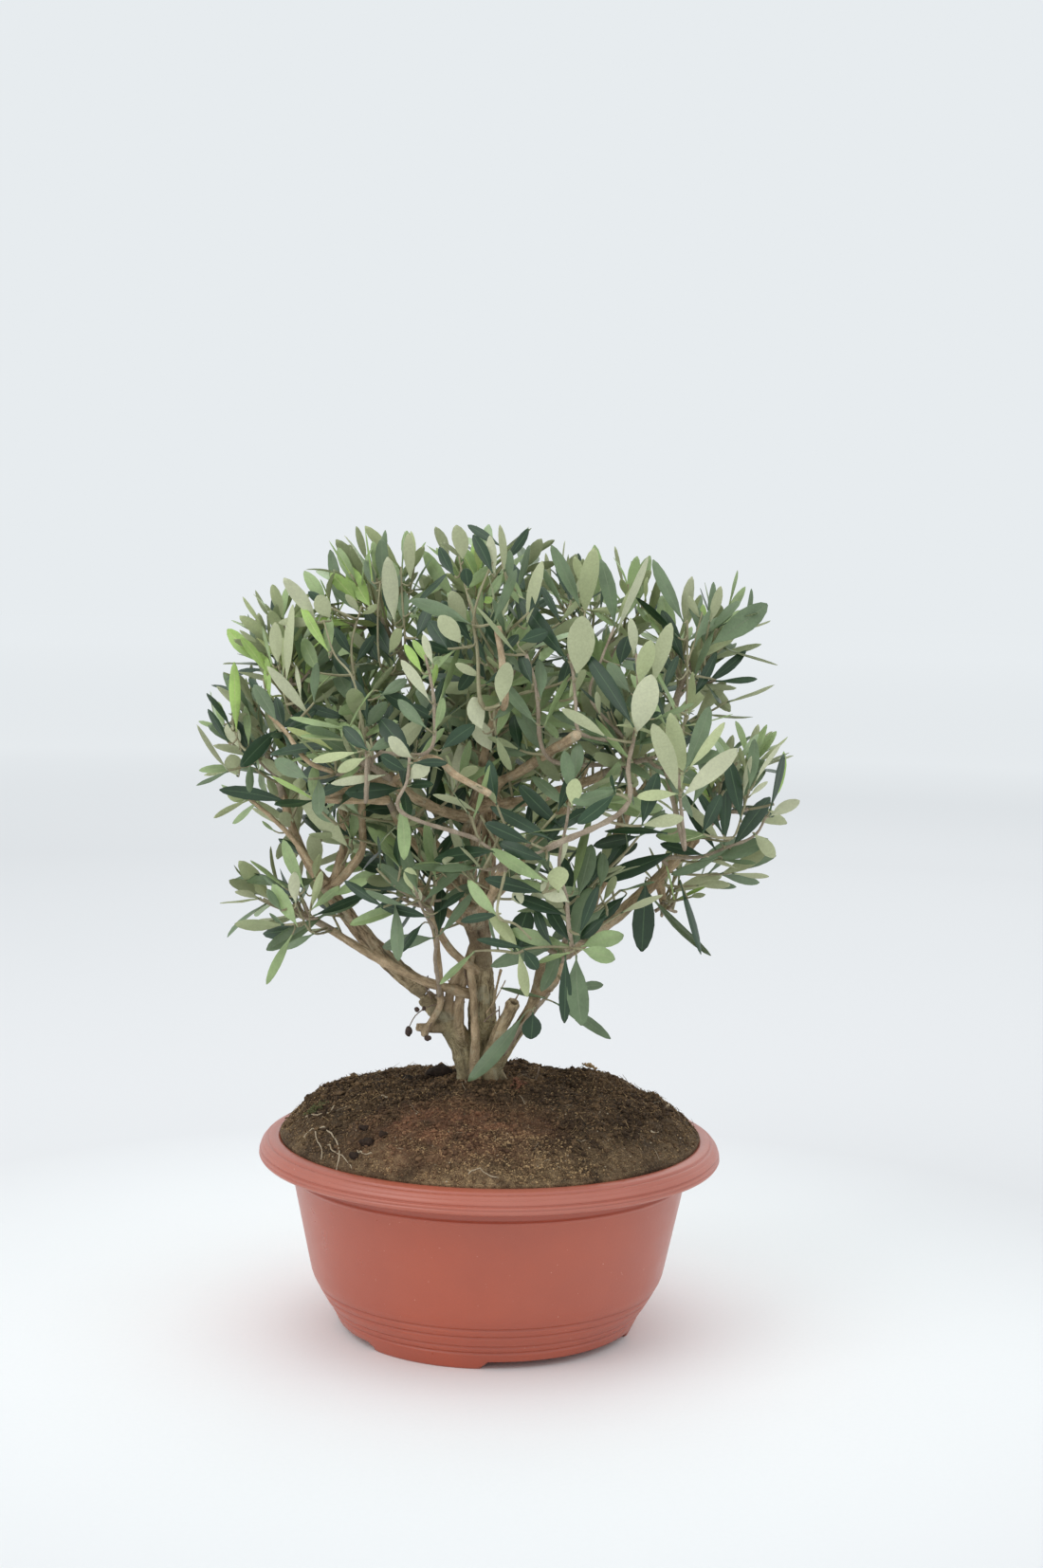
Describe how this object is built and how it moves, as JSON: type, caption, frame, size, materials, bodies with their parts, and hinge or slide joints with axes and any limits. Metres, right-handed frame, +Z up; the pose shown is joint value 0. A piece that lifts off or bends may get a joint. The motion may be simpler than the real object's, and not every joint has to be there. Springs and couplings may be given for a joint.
{
  "type": "potted olive tree",
  "caption": "Young olive tree with a knotty short trunk, spreading boughs and a loose grey-green crown, in a low round terracotta-coloured plastic pot filled with dark soil.",
  "frame": {"origin": "on the pot's axis, at the level that the pot stands on", "axes": "+Z up along the pot's axis, +X to the right and -Y towards the front"},
  "size_m": [0.2974, 0.2733, 0.401],
  "materials": {
    "pot": "terracotta-coloured moulded plastic, satin",
    "soil": "dark crumbly peat with fibres",
    "bark": "grey-brown furrowed bark",
    "leaves": "grey-green leathery leaves, silvery below"
  },
  "bodies": {
    "root": {"pot": "pot", "soil": "soil", "trunk": "bark", "bough_back": "bark", "bough_back_left": "bark", "bough_back_low": "bark", "bough_back_mid": "bark", "bough_back_right": "bark", "bough_back_top": "bark", "bough_centre": "bark", "bough_centre_left": "bark", "bough_far_left": "bark", "bough_far_right": "bark", "bough_front": "bark", "bough_front_left": "bark", "bough_front_low": "bark", "bough_front_mid": "bark", "bough_front_right": "bark", "bough_front_top": "bark", "bough_leader": "bark", "bough_left": "bark", "bough_left_curl": "bark", "bough_left_low_front": "bark", "bough_low_left": "bark", "bough_right": "bark", "bough_right_low": "bark", "bough_right_outer": "bark", "bough_right_top": "bark", "bough_right_up": "bark", "bough_top_left": "bark", "leaves_back": "leaves", "leaves_back_left": "leaves", "leaves_back_low": "leaves", "leaves_back_right": "leaves", "leaves_centre": "leaves", "leaves_centre_low": "leaves", "leaves_far_left": "leaves", "leaves_far_right": "leaves", "leaves_front": "leaves", "leaves_front_left": "leaves", "leaves_front_low": "leaves", "leaves_front_right": "leaves", "leaves_left_front": "leaves", "leaves_left_upper": "leaves", "leaves_low_left": "leaves", "leaves_low_right": "leaves", "leaves_right_upper": "leaves", "leaves_top": "leaves", "leaves_top_back": "leaves", "leaves_top_front": "leaves", "leaves_top_left": "leaves", "leaves_top_right": "leaves"}
  },
  "joints": []
}
